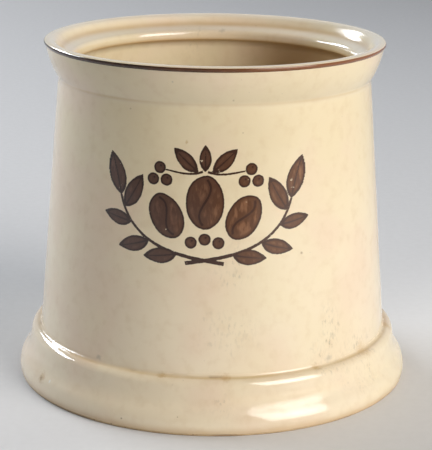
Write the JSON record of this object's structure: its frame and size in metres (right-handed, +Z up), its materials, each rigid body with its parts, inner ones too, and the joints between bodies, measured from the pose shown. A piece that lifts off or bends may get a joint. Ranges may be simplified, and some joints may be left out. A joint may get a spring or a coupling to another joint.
{
  "type": "ceramic canister",
  "caption": "Glazed stoneware canister without its lid: tapered wall on a moulded foot, flared collar, lid gallery inside the mouth, painted coffee sprig on the front.",
  "frame": {"origin": "centre of the foot, on the floor", "axes": "+Z up along the axis of the mouth, the painted front towards -Y, +X to the right seen from the front"},
  "size_m": [0.1748, 0.1748, 0.1498],
  "materials": {
    "bare_clay": "matte",
    "cream_glaze": "gloss",
    "rim_brown": "gloss",
    "dark_paint": "gloss",
    "brown_wash": "gloss"
  },
  "bodies": {
    "root": {"stoneware_body": "bare_clay", "outer_glaze": "cream_glaze", "liner_glaze": "cream_glaze", "foot_glaze": "cream_glaze", "rim_band": "rim_brown", "stems": "dark_paint", "leaf_wash": "brown_wash", "leaf_line": "dark_paint", "bean_wash": "brown_wash", "bean_line": "dark_paint", "berry_wash": "brown_wash", "berry_line": "dark_paint"}
  },
  "joints": []
}
